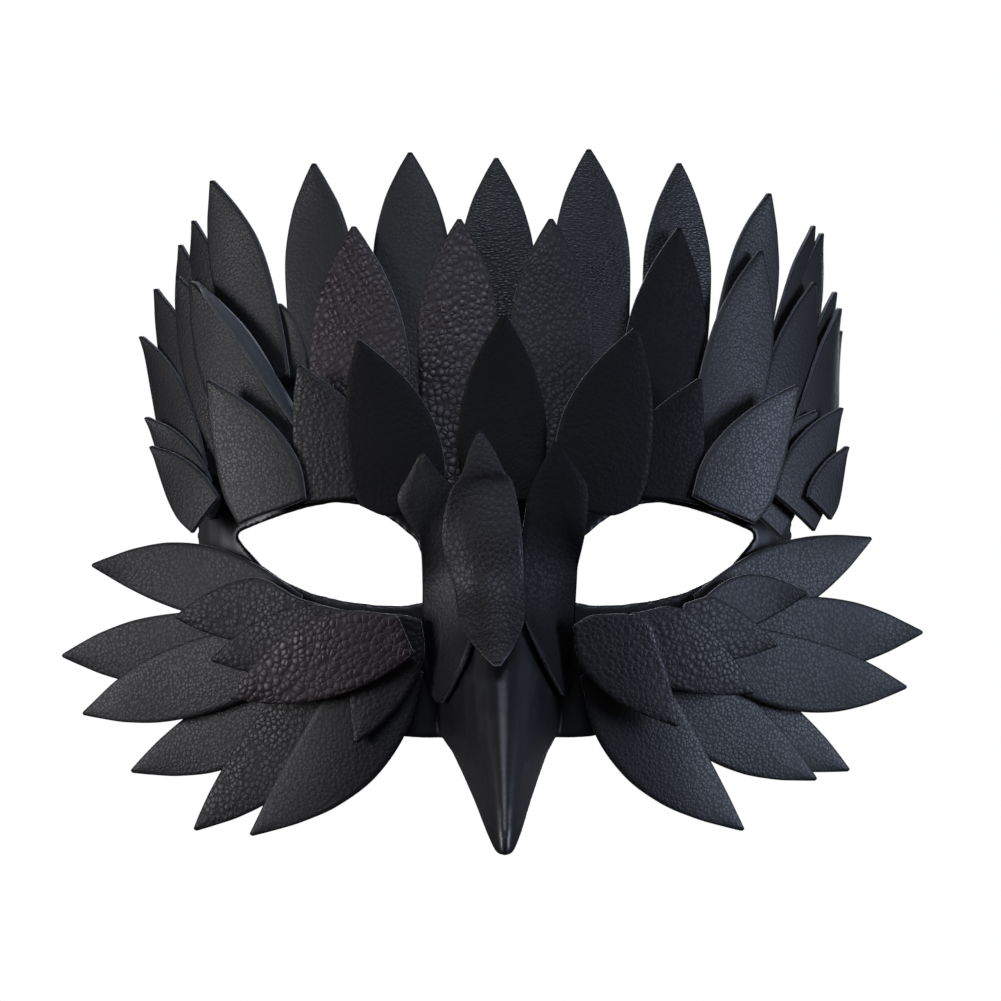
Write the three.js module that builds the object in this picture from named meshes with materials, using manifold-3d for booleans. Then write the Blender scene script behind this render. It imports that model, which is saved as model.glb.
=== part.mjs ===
// A feathered crow half mask: a moulded shell with a short beak, covered in rows of leather feathers.
// Millimetres, +Z up, the face of the mask looks along -Y. The origin is the back of the nose pad.
// Most pieces are drawn on the face of the mask: `along` is the distance round the head from the
// centre line (+ to the viewer's right), `up` is the height over the middle of the eye holes and
// `out` is the distance off the shell.

import * as THREE from 'three';
import Module from 'manifold-3d';
import { mergeVertices } from 'three/addons/utils/BufferGeometryUtils.js';

const wasm = await Module();
wasm.setup();

// ---------------------------------------------------------------- driving sizes

const SHELL_FRONT = -12.7; // y of the shell's outer face at the bridge of the nose
const SHELL_WALL = 2;
const GAP = 0.35; // between pieces that touch
const TURN_RATE = 0.132; // degrees, times along ** TURN_POWER: how fast the face turns round the head
const TURN_POWER = 1.4;
const CROWN_TURN = 88; // degrees, the most that the crown turns back round the head
const CHEEK_TURN = 26; // degrees, the cheeks flare out instead of following the head
const LEAN = 0.26; // how far the crown leans back for each millimetre of height
const LEAN_EASE = 10; // mm over which the lean sets in

const LEATHER = 1; // thickness of a feather
const PITCH = 1.4; // one layer of leather and the air over it
const TIP_HALF_WIDTH = 0.45;
const STATIONS = [0, 0.07, 0.18, 0.34, 0.54, 0.77, 1]; // from the tip to the root
const SPINDLE_STATIONS = [0, 0.07, 0.18, 0.34, 0.5, 0.66, 0.82, 0.93, 1]; // both ends pointed
const ACROSS = [-1, -0.36, 0.36, 1];

const SHELL_HALF = 74; // along, to the side edge of the shell
const BEAK_TOP = 8;
const BEAK_TIP = -60;
const RIM_BREAK = -38.8; // height of the shell's lower edge, where the beak leaves it

const LINING = 1.5;
const PAD_HALF = 10;
const PAD_BOTTOM = 10;
const PAD_TOP = 22;
const PAD_BACK = 0;
const PAD_MIDDLE = (PAD_BOTTOM + PAD_TOP) / 2;
const EYELET_ALONG = 68;
const EYELET_UP = 12;
const EYELET_BORE = 2.2;
const EYELET_BARREL = 3.2;
const EYELET_FLANGE = 5;

const rad = THREE.MathUtils.degToRad;

// ---------------------------------------------------------------- materials

const leather = new THREE.MeshStandardMaterial({ color: '#1b1a1c', roughness: 0.62, metalness: 0 });
const moulding = new THREE.MeshStandardMaterial({ color: '#121214', roughness: 0.38, metalness: 0 });
const felt = new THREE.MeshStandardMaterial({ color: '#222225', roughness: 0.95, metalness: 0 });
const foam = new THREE.MeshStandardMaterial({ color: '#2c2c30', roughness: 0.9, metalness: 0 });
const blackMetal = new THREE.MeshStandardMaterial({ color: '#2a2b2e', roughness: 0.35, metalness: 0.9 });

// ---------------------------------------------------------------- the face of the mask

/** A round-the-head curve as points every half millimetre, each with its x, y and turn. */
function planCurve(mostTurn) {
  const step = 0.5;
  const points = [];
  let x = 0;
  let y = 0;
  for (let along = 0; along <= 150; along += step) {
    const turn = rad(Math.min(TURN_RATE * along ** TURN_POWER, mostTurn));
    points.push({ x, y, turn });
    x += Math.cos(turn) * step;
    y += Math.sin(turn) * step;
  }
  return { step, points };
}

const CROWN = planCurve(CROWN_TURN);
const CHEEK = planCurve(CHEEK_TURN);

const lean = (up) => (LEAN * (Math.hypot(up, LEAN_EASE) + up)) / 2;

/** The point in space at (along, up, out) on a plan curve. */
function place(curve, along, up, out) {
  const reach = Math.abs(along) / curve.step;
  const index = Math.min(Math.floor(reach), curve.points.length - 2);
  const share = reach - index;
  const a = curve.points[index];
  const b = curve.points[index + 1];
  const turn = a.turn + (b.turn - a.turn) * share;
  const x = a.x + (b.x - a.x) * share + Math.sin(turn) * out;
  const y = a.y + (b.y - a.y) * share - Math.cos(turn) * out;
  return new THREE.Vector3(Math.sign(along) * x, SHELL_FRONT - lean(0) + lean(up) + y, up);
}

/** Straight-line reading of a short table of [position, value] pairs. */
function read(table, at) {
  const last = table.length - 1;
  if (at <= table[0][0]) return table[0][1];
  if (at >= table[last][0]) return table[last][1];
  const i = table.findIndex(([position]) => position > at);
  const [p0, v0] = table[i - 1];
  const [p1, v1] = table[i];
  return v0 + ((v1 - v0) * (at - p0)) / (p1 - p0);
}

// The eye hole seen from the front, right side: [x, up] from the inner corner along each edge.
const EYE_TOP = [[15.9, -1.5], [17.5, 2.8], [21.5, 6.2], [25.5, 8.9], [30, 10.4], [35, 10.9],
  [41, 9.8], [46, 8.3], [51, 6.5], [55.6, 4.6], [56.5, 3.6]];
const EYE_BOTTOM = [[15.6, -6], [15.5, -10.4], [20, -11.3], [26, -11.2], [33, -10.4], [40, -8.8],
  [46, -6.2], [51, -2.8], [55, 1.4]];
const EYE_MARGIN_TOP = 0.5; // leather kept off the hole along its upper edge
const EYE_MARGIN_BOTTOM = 1.5; // the bare rim of the shell along its lower edge

/** Keeps a point of a brow feather above the eye hole. */
function aboveEye(along, up) {
  const x = Math.abs(along);
  return x < 60 ? Math.max(up, read(EYE_TOP, x) + EYE_MARGIN_TOP) : up;
}

/** Keeps a point of a cheek feather below the eye hole. */
function belowEye(along, up) {
  const x = Math.abs(along);
  return x < 58 ? Math.min(up, read(EYE_BOTTOM, x) - EYE_MARGIN_BOTTOM) : up;
}

// ---------------------------------------------------------------- solids from grids

/** A closed solid between two grids of points, front[i][j] and back[i][j]. */
function sheetSolid(front, back) {
  const rows = front.length;
  const columns = front[0].length;
  const vertices = [...front.flat(), ...back.flat()];
  const id = (side, i, j) => side * rows * columns + i * columns + j;
  const triangles = [];
  const quad = (a, b, c, d) => triangles.push(a, b, c, a, c, d);
  for (let i = 0; i < rows - 1; i += 1) {
    for (let j = 0; j < columns - 1; j += 1) {
      quad(id(0, i, j), id(0, i, j + 1), id(0, i + 1, j + 1), id(0, i + 1, j));
      quad(id(1, i, j), id(1, i + 1, j), id(1, i + 1, j + 1), id(1, i, j + 1));
    }
    quad(id(0, i, 0), id(0, i + 1, 0), id(1, i + 1, 0), id(1, i, 0));
    quad(id(0, i + 1, columns - 1), id(0, i, columns - 1), id(1, i, columns - 1), id(1, i + 1, columns - 1));
  }
  for (let j = 0; j < columns - 1; j += 1) {
    quad(id(0, 0, j + 1), id(0, 0, j), id(1, 0, j), id(1, 0, j + 1));
    quad(id(0, rows - 1, j), id(0, rows - 1, j + 1), id(1, rows - 1, j + 1), id(1, rows - 1, j));
  }
  return solidGeometry(vertices, triangles);
}

/** A BufferGeometry from points and triangle indices, turned to face out. */
function solidGeometry(vertices, triangles) {
  let volume = 0;
  for (let t = 0; t < triangles.length; t += 3) {
    const [a, b, c] = [0, 1, 2].map((k) => vertices[triangles[t + k]]);
    volume += a.dot(new THREE.Vector3().crossVectors(b, c));
  }
  const indices = volume > 0 ? triangles : triangles.slice().reverse();
  const geometry = new THREE.BufferGeometry().setFromPoints(vertices);
  geometry.setIndex(indices);
  return geometry;
}

/** A manifold-3d solid of a geometry. */
function toManifold(source) {
  const bare = source.clone();
  bare.deleteAttribute('normal');
  bare.deleteAttribute('uv');
  const merged = mergeVertices(bare, 1e-4);
  return new wasm.Manifold(new wasm.Mesh({
    numProp: 3,
    vertProperties: new Float32Array(merged.attributes.position.array),
    triVerts: new Uint32Array(merged.index.array),
  }));
}

/** The geometry of a manifold-3d solid. */
function fromManifold(solid) {
  const mesh = solid.getMesh();
  const geometry = new THREE.BufferGeometry();
  geometry.setAttribute('position', new THREE.BufferAttribute(new Float32Array(mesh.vertProperties), 3));
  geometry.setIndex(new THREE.BufferAttribute(new Uint32Array(mesh.triVerts), 1));
  return geometry;
}

/** Evenly spaced numbers from a to b. */
const spaced = (a, b, count) => Array.from({ length: count }, (_, i) => a + ((b - a) * i) / (count - 1));

// ---------------------------------------------------------------- the beak

// Seen from the front: half the width of the beak at each height, down to the tip.
const BEAK_HALF = [[BEAK_TIP, 1.4], [-58.6, 2.3], [-55.5, 3.7], [-51, 5.5], [-47, 7.3], [-42, 9.8],
  [RIM_BREAK, 12.4], [-30, 13.4], [-10, 13.6], [BEAK_TOP, 11]];
// Seen from the side: how far the ridge stands off the shell's front face at each height.
const RIDGE_OUT = [[BEAK_TIP, 45.4], [-57.5, 45.8], [-52, 43.5], [-44, 38.5], [-34, 31.5], [-22, 22.5],
  [-10, 12.5], [0, 5.2], [BEAK_TOP, 0.6]];
// How far the lower rim of the beak stands off the shell's front face.
const RIM_OUT = [[BEAK_TIP, 43.5], [-56, 39.5], [-48, 25], [-42, 11], [RIM_BREAK, 0.5], [-36, 0]];
const RIDGE_POWER = 2.3; // above 1 the ridge is round, and the higher the broader
const FLANK_POWER = 1.4; // above 1 the flanks are hollow
const BEAK_HEIGHTS = [BEAK_TIP, -58.6, -55.5, -51, -46, RIM_BREAK - 3, RIM_BREAK, -33, -26, -18, -10,
  -3, 3, BEAK_TOP];
const BEAK_ACROSS = [-1, -0.88, -0.74, -0.58, -0.4, -0.24, -0.08, 0.08, 0.24, 0.4, 0.58, 0.74, 0.88, 1];

/** Height of the beak's section over its rim, 1 on the ridge and 0 at the rim. */
function flank(u) {
  return (1 - Math.abs(u) ** RIDGE_POWER) ** FLANK_POWER;
}

/** The y of the beak's outer face at a height and a share u of its half width. */
function beakY(up, u) {
  const rim = read(RIM_OUT, up);
  return SHELL_FRONT + lean(up) - lean(0) - rim - (read(RIDGE_OUT, up) - rim) * flank(u);
}

/** The beak as a closed solid, shrunk by a wall and running back to `back` behind the rim. */
function beakSolid(wall, back) {
  const section = (up) => {
    const half = Math.max(read(BEAK_HALF, up) - wall, 0.3);
    return BEAK_ACROSS.map((u) => new THREE.Vector3(u * half, beakY(up, u) + wall * 1.15, up));
  };
  const heights = wall > 0 ? BEAK_HEIGHTS.filter((up) => up > -56 && up < BEAK_TOP - 4) : BEAK_HEIGHTS;
  const front = heights.map(section);
  const rear = heights.map((up) => section(up).map((p) => {
    const rim = SHELL_FRONT - read(RIM_OUT, up);
    return new THREE.Vector3(p.x, rim + back, up);
  }));
  return toManifold(sheetSolid(front, rear));
}

const BRIDGE_EDGE = [[2, 15.8], [7, 20]]; // how far out a bridge feather reaches at each height
const BRIDGE_RISE = [[-10, 0.3], [4, 9.8], [20, 12]]; // how far the bridge feathers stand off at each height
const SLOPE_STEP = 2.5;

/** The y of the mask's front at the bridge, over the beak and the shell beside it. */
function bridgeY(x, up) {
  const half = read(BEAK_HALF, up);
  if (up < BEAK_TOP && Math.abs(x) < half) return beakY(up, x / half);
  return place(CROWN, x, up, 0).y;
}

/** The point at (x, up, out) over the bridge of the nose, out being square to the surface. */
function placeOnBridge(curve, x, up, out) {
  const edge = read(BRIDGE_EDGE, up);
  const at = THREE.MathUtils.clamp(x, -edge, edge);
  const slopeX = (bridgeY(at + SLOPE_STEP, up) - bridgeY(at - SLOPE_STEP, up)) / (2 * SLOPE_STEP);
  const slopeUp = (bridgeY(at, up + SLOPE_STEP) - bridgeY(at, up - SLOPE_STEP)) / (2 * SLOPE_STEP);
  const outwards = new THREE.Vector3(slopeX, -1, slopeUp).normalize();
  const foot = new THREE.Vector3(at, bridgeY(at, up), up);
  return foot.addScaledVector(outwards, out + read(BRIDGE_RISE, up));
}

// ---------------------------------------------------------------- feathers

/** Half the width of a feather at a distance from its tip. */
function halfWidth(distance, length, width, row) {
  if (row.spindle) {
    const nearEnd = Math.min(distance, length - distance);
    return halfWidth(nearEnd, length, width, { ...row, spindle: false });
  }
  const point = row.taper * width;
  const rise = Math.sin((Math.PI / 2) * Math.min(distance / point, 1) ** 0.85);
  const past = Math.max(0, distance - point) / Math.max(length - point, 1);
  return Math.max(TIP_HALF_WIDTH, (width / 2) * rise * (1 - row.narrowing * past ** 2));
}

/** A leather feather between a root and a tip on the face of the mask. */
function feather(row, spec) {
  const [rootAlong, rootUp] = spec.root;
  const [tipAlong, tipUp] = spec.tip;
  const length = Math.hypot(tipAlong - rootAlong, tipUp - rootUp);
  const dir = [(rootAlong - tipAlong) / length, (rootUp - tipUp) / length];
  const side = [-dir[1], dir[0]];
  const bow = spec.bow ?? 0;
  const layerAt = (t) => spec.layer + ((spec.tipLayer ?? spec.layer) - spec.layer) * (1 - t);
  const point = (t, u, depth) => {
    const half = halfWidth(t * length, length, spec.width, row);
    const off = u * half + bow * Math.sin(Math.PI * t);
    const along = tipAlong + dir[0] * t * length + side[0] * off;
    const up = tipUp + dir[1] * t * length + side[1] * off;
    const curl = (spec.curl ?? 0) * Math.max(0, 1 - t / 0.5) ** 2;
    const out = GAP + layerAt(t) * PITCH + curl + depth;
    return (row.placer ?? place)(row.curve, along, row.keepOff(along, up), out);
  };
  const stations = row.spindle ? SPINDLE_STATIONS : STATIONS;
  const sheet = (depth) => stations.map((t) => ACROSS.map((u) => point(t, u, depth)));
  return sheetSolid(sheet(LEATHER), sheet(0));
}

const free = (along, up) => up;

// Each row: where its feathers lie, and each feather's root, tip and width in millimetres.
// `layer` counts leather layers off the shell, `bow` bends the feather and `curl` lifts its tip.
// `taper` is the length of a row's points, in widths, and `narrowing` how much its roots close in.
const ROWS = [
  {
    name: 'crown_feather', curve: CROWN, keepOff: free, taper: 1.5, narrowing: 0.22, feathers: [
      { root: [-64, 36], tip: [-75, 74], width: 13, layer: 0 },
      { root: [-51, 36], tip: [-66, 82.5], width: 15.6, layer: 1, bow: 0.4 },
      { root: [-37, 27], tip: [-40.3, 85.3], width: 16, layer: 0, bow: -0.3 },
      { root: [-18, 27], tip: [-18.5, 87.2], width: 16.5, layer: 1 },
      { root: [0, 27], tip: [0, 86], width: 16.5, layer: 0 },
      { root: [19.5, 27], tip: [19.9, 88], width: 16.5, layer: 1, bow: 0.7 },
      { root: [37.5, 27], tip: [40.9, 85.6], width: 16.5, layer: 0, bow: 1 },
      { root: [52, 36], tip: [64.6, 79.8], width: 16, layer: 1, bow: 1 },
      { root: [66, 36], tip: [89, 74], width: 13.5, layer: 0, bow: 0.8 },
    ],
  },
  {
    name: 'middle_feather', curve: CROWN, keepOff: free, taper: 1.5, narrowing: 0.3, feathers: [
      { root: [-69, 16], tip: [-87, 48], width: 14, layer: 3, curl: 1.5 },
      { root: [-66, 22], tip: [-82, 54], width: 13, layer: 1.8 },
      { root: [-55.5, 20], tip: [-74.5, 61], width: 16, layer: 2.8 },
      { root: [-43, 16], tip: [-68.5, 59.5], width: 18, layer: 3.7 },
      { root: [-28, 15], tip: [-30, 70.7], width: 21, layer: 3 },
      { root: [-8.5, 13], tip: [-8, 72.2], width: 17, layer: 2 },
      { root: [11, 13], tip: [11.3, 72.2], width: 17, layer: 3 },
      { root: [28.5, 14], tip: [39.2, 70.7], width: 18, layer: 2, bow: 1.5 },
      { root: [43.5, 14], tip: [59, 66.3], width: 17, layer: 3, bow: 1 },
      { root: [56.5, 14], tip: [80, 60.3], width: 16.5, layer: 2, bow: 1 },
      { root: [69, 18], tip: [94, 55], width: 15, layer: 3, bow: 1 },
    ],
  },
  {
    name: 'brow_feather', curve: CROWN, keepOff: aboveEye, taper: 1.45, narrowing: 0.12, feathers: [
      { root: [-66, 12], tip: [-81, 29.5], width: 12, layer: 3.9, tipLayer: 4.2, curl: 1 },
      { root: [-62, 8], tip: [-78, 23], width: 12, layer: 5.2 },
      { root: [-46, 8.5], tip: [-57.5, 37], width: 18, layer: 5.4, tipLayer: 8.4, bow: 1.2 },
      { root: [-31.5, 11], tip: [-39.3, 40], width: 19, layer: 4.4, tipLayer: 6.9, bow: 1.5 },
      { root: [-19.5, 8.5], tip: [-27, 45.2], width: 19, layer: 5.4, tipLayer: 8.4, bow: 1.5 },
      { root: [0.5, 11], tip: [1, 50.8], width: 18, layer: 4.2, tipLayer: 7.2 },
      { root: [19.5, 8.5], tip: [26.7, 48], width: 19, layer: 5.4, tipLayer: 8.4, bow: -1.5 },
      { root: [32.5, 11], tip: [39.6, 37.2], width: 19, layer: 4.2, tipLayer: 7.2, bow: -1.5 },
      { root: [46, 8.5], tip: [60.5, 36.2], width: 18, layer: 5.4, tipLayer: 8.4, bow: -1 },
      { root: [55.5, 7.5], tip: [73, 31], width: 17, layer: 4.1, tipLayer: 4.4, bow: -1 },
      { root: [63, 8.5], tip: [79, 31.7], width: 16, layer: 6, bow: -1 },
      { root: [68.5, 9.5], tip: [78, 23], width: 10, layer: 7.3 },
    ],
  },
  {
    name: 'cheek_feather_left', curve: CHEEK, keepOff: belowEye, taper: 1.8, narrowing: 0.3, feathers: [
      { root: [-44, -14], tip: [-94, -3], width: 15.5, layer: 0, bow: 2.6 },
      { root: [-46, -18], tip: [-101, -23], width: 15.5, layer: 1, bow: -0.6 },
      { root: [-43, -20], tip: [-95, -35.5], width: 16, layer: 2 },
      { root: [-37, -23], tip: [-84, -48], width: 16, layer: 0, bow: -2.5 },
      { root: [-32, -22], tip: [-67.5, -60], width: 16, layer: 1, bow: -2 },
      { root: [-21, -21], tip: [-53, -60.5], width: 19, layer: 2, bow: -4 },
    ],
  },
  {
    name: 'cheek_feather_right', curve: CHEEK, keepOff: belowEye, taper: 1.8, narrowing: 0.3, feathers: [
      { root: [45, -14], tip: [88, 2.8], width: 16.5, layer: 0 },
      { root: [47, -18], tip: [100, -18], width: 16.5, layer: 1 },
      { root: [44, -20], tip: [95, -30], width: 16, layer: 2, bow: 2 },
      { root: [39, -21], tip: [82, -48], width: 16, layer: 0, bow: 2.5 },
      { root: [32, -23], tip: [72.5, -49.6], width: 17.5, layer: 1, bow: 2 },
      { root: [22, -22], tip: [53, -59.7], width: 19, layer: 2, bow: 4 },
    ],
  },
  {
    name: 'inner_feather_left', curve: CHEEK, keepOff: belowEye, taper: 1.5, narrowing: 0.25, feathers: [
      { root: [-33, -14], tip: [-71, -14], width: 14, layer: 3, bow: 1.5 },
      { root: [-30, -16], tip: [-61, -23], width: 14, layer: 4 },
      { root: [-19.5, -15.5], tip: [-55.5, -31], width: 17, layer: 5 },
      { root: [-21.5, -12.5], tip: [-29, -40], width: 15, layer: 3, bow: -1 },
    ],
  },
  {
    name: 'inner_feather_right', curve: CHEEK, keepOff: belowEye, taper: 1.5, narrowing: 0.25, feathers: [
      { root: [44, -14], tip: [68, -9], width: 12, layer: 3, bow: -1.5 },
      { root: [37, -15], tip: [60, -20], width: 14, layer: 4 },
      { root: [25, -15], tip: [53, -30], width: 16.5, layer: 5 },
      { root: [19.6, -12], tip: [35, -36.5], width: 16, layer: 6, bow: 1.5 },
    ],
  },
  {
    name: 'bridge_feather', curve: CROWN, placer: placeOnBridge, keepOff: free, taper: 1.4, spindle: true,
    narrowing: 0, feathers: [
      { root: [-11.5, -31.5], tip: [-15, 18], width: 20, layer: 0 },
      { root: [-0.6, -24.8], tip: [-4, 22], width: 10, layer: 1.9 },
      { root: [12.2, -30], tip: [11, 20], width: 18.4, layer: 0.5, bow: 0.4 },
    ],
  },
];

// ---------------------------------------------------------------- shell, lining, pad and eyelets

const SHELL_TOP = [[0, 38], [30, 41], [46, 40], [60, 34], [SHELL_HALF, 24]];
const SHELL_BOTTOM = [[0, -39.3], [21, -39.3], [27, -36], [34, -31], [46, -22], [60, -12], [SHELL_HALF, -2]];

/** Part of the moulded face, between two distances off the shell, grown by `edge` at its outline. */
function faceSolid(outer, inner, edge, columns, rows) {
  const sides = spaced(-SHELL_HALF - edge, SHELL_HALF + edge, columns);
  const grid = (out) => spaced(0, 1, rows).map((share) => sides.map((along) => {
    const bottom = read(SHELL_BOTTOM, Math.abs(along)) - edge;
    const top = read(SHELL_TOP, Math.abs(along)) + edge;
    return place(CROWN, along, bottom + (top - bottom) * share, out);
  }));
  return sheetSolid(grid(outer), grid(inner));
}

/** The two eye holes as solids that run right through the face, grown by `edge`. */
function eyeHoles(edge) {
  const outline = [...EYE_TOP, ...EYE_BOTTOM.slice().reverse()];
  const middle = new THREE.Vector2(36, 0);
  return [-1, 1].map((side) => {
    const shape = new THREE.Shape(outline.map(([x, up]) => {
      const p = new THREE.Vector2(x, up);
      const away = p.clone().sub(middle).normalize().multiplyScalar(edge);
      return new THREE.Vector2(side * (p.x + away.x), p.y + away.y);
    }));
    const hole = new THREE.ExtrudeGeometry(shape, { depth: 120, bevelEnabled: false });
    hole.rotateX(Math.PI / 2);
    hole.translate(0, 60, 0);
    return toManifold(hole);
  });
}

/** A round piece through the shell at a temple, between two radii and two distances off the shell. */
function templeRound(side, radius, outer, inner) {
  const round = new THREE.CylinderGeometry(radius, radius, outer - inner, 20);
  const outwards = place(CROWN, EYELET_ALONG, EYELET_UP, 1).sub(place(CROWN, EYELET_ALONG, EYELET_UP, 0));
  outwards.z = 0;
  outwards.x *= side;
  const centre = place(CROWN, side * EYELET_ALONG, EYELET_UP, 0);
  const barrelAxis = new THREE.Vector3(0, 1, 0);
  const turn = new THREE.Quaternion().setFromUnitVectors(barrelAxis, outwards.normalize());
  round.applyQuaternion(turn);
  const middle = centre.addScaledVector(outwards, (outer + inner) / 2);
  round.translate(middle.x, middle.y, middle.z);
  return toManifold(round);
}

function faceShell() {
  let shell = toManifold(faceSolid(0, -SHELL_WALL, 0, 35, 9));
  shell = shell.add(beakSolid(0, 1.5));
  shell = shell.subtract(beakSolid(SHELL_WALL, 6));
  shell = shell.subtract(toManifold(faceSolid(-SHELL_WALL, -22, 0.5, 35, 9)));
  eyeHoles(0).forEach((hole) => {
    shell = shell.subtract(hole);
  });
  [-1, 1].forEach((side) => {
    shell = shell.subtract(templeRound(side, EYELET_BARREL + 2 * GAP, 6, -8));
  });
  return fromManifold(shell);
}

function faceLining() {
  const outer = -SHELL_WALL - GAP;
  let lining = toManifold(faceSolid(outer, outer - LINING, -2.5, 25, 7));
  eyeHoles(2.2).forEach((hole) => {
    lining = lining.subtract(hole);
  });
  const noseGap = new THREE.BoxGeometry(34, 40, 70);
  noseGap.translate(0, 0, -11);
  lining = lining.subtract(toManifold(noseGap));
  [-1, 1].forEach((side) => {
    lining = lining.subtract(templeRound(side, EYELET_FLANGE + 1.2, 6, -8));
  });
  return fromManifold(lining);
}

/** The foam block between the brow and the wearer's nose, its front face along the shell. */
function nosePad() {
  const front = (up) => place(CROWN, PAD_HALF, up, -SHELL_WALL - 2 * GAP).y;
  const profile = new THREE.Shape([
    new THREE.Vector2(front(PAD_BOTTOM), PAD_BOTTOM),
    new THREE.Vector2(PAD_BACK, PAD_BOTTOM),
    new THREE.Vector2(PAD_BACK, PAD_TOP),
    new THREE.Vector2(front(PAD_TOP), PAD_TOP),
  ]);
  const pad = new THREE.ExtrudeGeometry(profile, { depth: 2 * PAD_HALF, bevelEnabled: false });
  pad.rotateX(Math.PI / 2);
  pad.rotateZ(Math.PI / 2);
  pad.translate(-PAD_HALF, 0, 0);
  return pad;
}

/** A metal eyelet for a strap: a barrel through the shell with a flange on each face. */
function strapEyelet(side) {
  const flange = 0.8;
  const face = 3 * GAP;
  const back = -SHELL_WALL - 3 * GAP;
  const barrel = templeRound(side, EYELET_BARREL, face + flange, back - flange);
  const rims = [[face + flange, face], [back, back - flange]];
  const body = rims.reduce((solid, [a, b]) => solid.add(templeRound(side, EYELET_FLANGE, a, b)), barrel);
  return fromManifold(body.subtract(templeRound(side, EYELET_BORE, 6, -8)));
}

// ---------------------------------------------------------------- the assembly

const mask = new THREE.Group();
mask.position.z = -PAD_MIDDLE; // brings the back of the nose pad to the origin

/** Adds one named piece to the mask. */
function addPiece(parent, name, geometry, material) {
  const mesh = new THREE.Mesh(geometry, material);
  mesh.name = name;
  parent.add(mesh);
}

addPiece(mask, 'face_shell', faceShell(), moulding);
addPiece(mask, 'face_lining', faceLining(), felt);
addPiece(mask, 'nose_pad', nosePad(), foam);
addPiece(mask, 'strap_eyelet_left', strapEyelet(-1), blackMetal);
addPiece(mask, 'strap_eyelet_right', strapEyelet(1), blackMetal);

for (const row of ROWS) {
  const group = new THREE.Group();
  row.feathers.forEach((spec, index) => {
    addPiece(group, `${row.name}_${index + 1}`, feather(row, spec), leather);
  });
  mask.add(group);
}

export default mask;
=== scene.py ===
"""A crow half mask: overlapping black leather feathers on a moulded shell with a short beak.

Each feather is cut again from its own node's outline, and the shell, the lining and the nose pad
are made from theirs. The few tucked feathers have no node: each is cut like a neighbour and set
beside or behind it.
"""

from __future__ import annotations

import logging
import math
from dataclasses import dataclass
from enum import Enum

import bmesh
import bpy
import numpy as np
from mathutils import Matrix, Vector, noise

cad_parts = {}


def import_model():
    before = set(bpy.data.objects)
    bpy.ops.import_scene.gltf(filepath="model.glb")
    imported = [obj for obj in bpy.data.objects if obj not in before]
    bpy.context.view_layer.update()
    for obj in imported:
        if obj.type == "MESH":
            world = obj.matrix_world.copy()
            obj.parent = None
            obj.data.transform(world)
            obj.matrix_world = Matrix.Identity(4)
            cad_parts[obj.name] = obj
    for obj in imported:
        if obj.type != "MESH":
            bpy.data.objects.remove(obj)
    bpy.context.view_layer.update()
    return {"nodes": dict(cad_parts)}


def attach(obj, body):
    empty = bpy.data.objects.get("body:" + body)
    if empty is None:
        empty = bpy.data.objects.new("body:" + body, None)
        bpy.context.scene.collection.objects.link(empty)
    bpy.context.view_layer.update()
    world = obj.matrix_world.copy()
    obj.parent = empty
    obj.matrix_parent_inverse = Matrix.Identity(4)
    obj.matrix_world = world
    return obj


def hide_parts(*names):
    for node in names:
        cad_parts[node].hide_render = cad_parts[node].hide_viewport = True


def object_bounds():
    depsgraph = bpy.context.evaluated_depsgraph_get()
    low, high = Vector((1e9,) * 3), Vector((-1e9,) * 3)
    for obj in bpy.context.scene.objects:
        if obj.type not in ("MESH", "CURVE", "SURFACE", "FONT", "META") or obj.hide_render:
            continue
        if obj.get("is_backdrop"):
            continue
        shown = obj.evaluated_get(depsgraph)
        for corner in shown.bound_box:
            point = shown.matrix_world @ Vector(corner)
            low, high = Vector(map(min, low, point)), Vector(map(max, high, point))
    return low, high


log = logging.getLogger("crow_mask")

MM = 0.001
BODY = "root"
HEAD_CENTRE_MM = 50.0  # how far behind the mask's front the middle of the wearer's head lies
WELD_M = 2e-6  # corners closer together than this are one
RELAX_STEPS = (0.5, -0.52)  # in, and then a little further back out
SKIN, CUT_EDGE, FLESH = range(3)  # a feather's material slots

Colour = tuple[float, float, float, float]


# ------------------------------------------------------------------ colours and shader nodes


def srgb(hex_code: str) -> Colour:
    """Turns an sRGB hex colour into linear light.

    Args:
        hex_code: six hex digits after a hash.

    Returns:
        Linear red, green, blue and an alpha of 1.
    """
    channels = [int(hex_code[i : i + 2], 16) / 255 for i in (1, 3, 5)]
    linear = [c / 12.92 if c <= 0.04045 else ((c + 0.055) / 1.055) ** 2.4 for c in channels]
    return (linear[0], linear[1], linear[2], 1.0)


def add_node(
    tree: bpy.types.NodeTree, kind: str, inputs: dict | None = None, **settings: object
) -> bpy.types.Node:
    """Adds a node with its settings, input values and links.

    Args:
        tree: the node tree that it goes in.
        kind: Blender's name for the node type.
        inputs: input name or number to a value, or to the output socket linked to it.
        settings: the node's own properties.

    Returns:
        The new node.
    """
    node = tree.nodes.new(kind)
    for name, value in settings.items():
        setattr(node, name, value)
    for key, value in (inputs or {}).items():
        if isinstance(value, bpy.types.NodeSocket):
            tree.links.new(value, node.inputs[key])
        else:
            node.inputs[key].default_value = value
    return node


def new_material(name: str) -> tuple[bpy.types.Material, bpy.types.NodeTree, bpy.types.NodeSocket]:
    """Makes an empty node material.

    Args:
        name: the material's name.

    Returns:
        The material, its node tree, and the position in metres as a socket.
    """
    material = bpy.data.materials.new(name)
    material.use_nodes = True
    tree = material.node_tree
    tree.nodes.clear()
    place = add_node(tree, "ShaderNodeTexCoord").outputs["Object"]
    return material, tree, place


def finish_material(tree: bpy.types.NodeTree, shader: bpy.types.Node) -> None:
    """Links a shader to the material's output.

    Args:
        tree: the material's node tree.
        shader: the node whose first output is the surface.
    """
    add_node(tree, "ShaderNodeOutputMaterial", {"Surface": shader.outputs[0]})


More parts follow.
